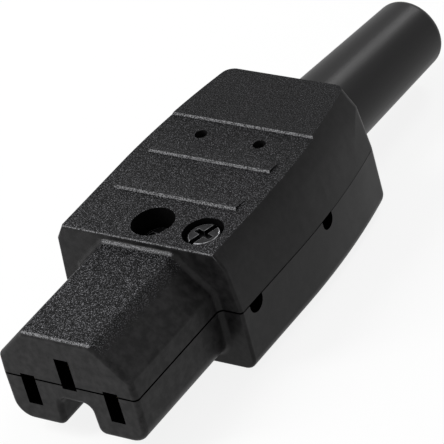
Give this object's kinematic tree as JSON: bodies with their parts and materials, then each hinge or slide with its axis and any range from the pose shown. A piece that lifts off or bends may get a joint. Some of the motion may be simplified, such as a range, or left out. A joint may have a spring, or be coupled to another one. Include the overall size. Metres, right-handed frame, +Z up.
{
  "type": "cord connector",
  "caption": "Rewireable appliance connector: screwed two-part shell with three slots, a key groove under the nose, grip steps on top and a tapered bend sleeve for the cord.",
  "frame": {"origin": "middle of the mating face, on the centre line of the two lower slots", "axes": "+X across the connector, +Y from the mating face to the cord, +Z up from the flat underside to the screwed top"},
  "size_m": [0.0302, 0.0912, 0.0202],
  "materials": {
    "shell": "fine spark-eroded grain on the tops, smoother on the sides",
    "sleeve": "smooth moulded rubber",
    "screw": "zinc plated",
    "contact": "rolled sheet",
    "spring": "spring steel",
    "terminal": "machined",
    "clamp": "moulded"
  },
  "bodies": {
    "root": {"upper_shell": "shell", "lower_shell": "shell", "bend_sleeve": "sleeve", "housing_screw_side": "screw", "housing_screw_centre": "screw", "line_contact": "contact", "neutral_contact": "contact", "earth_contact": "contact", "line_spring": "spring", "neutral_spring": "spring", "earth_spring": "spring", "line_terminal": "terminal", "neutral_terminal": "terminal", "earth_terminal": "terminal", "line_terminal_screw": "screw", "neutral_terminal_screw": "screw", "earth_terminal_screw": "screw", "cord_clamp": "clamp", "clamp_screw_left": "screw", "clamp_screw_right": "screw", "centre_insert": "terminal", "side_insert": "terminal"}
  },
  "joints": []
}
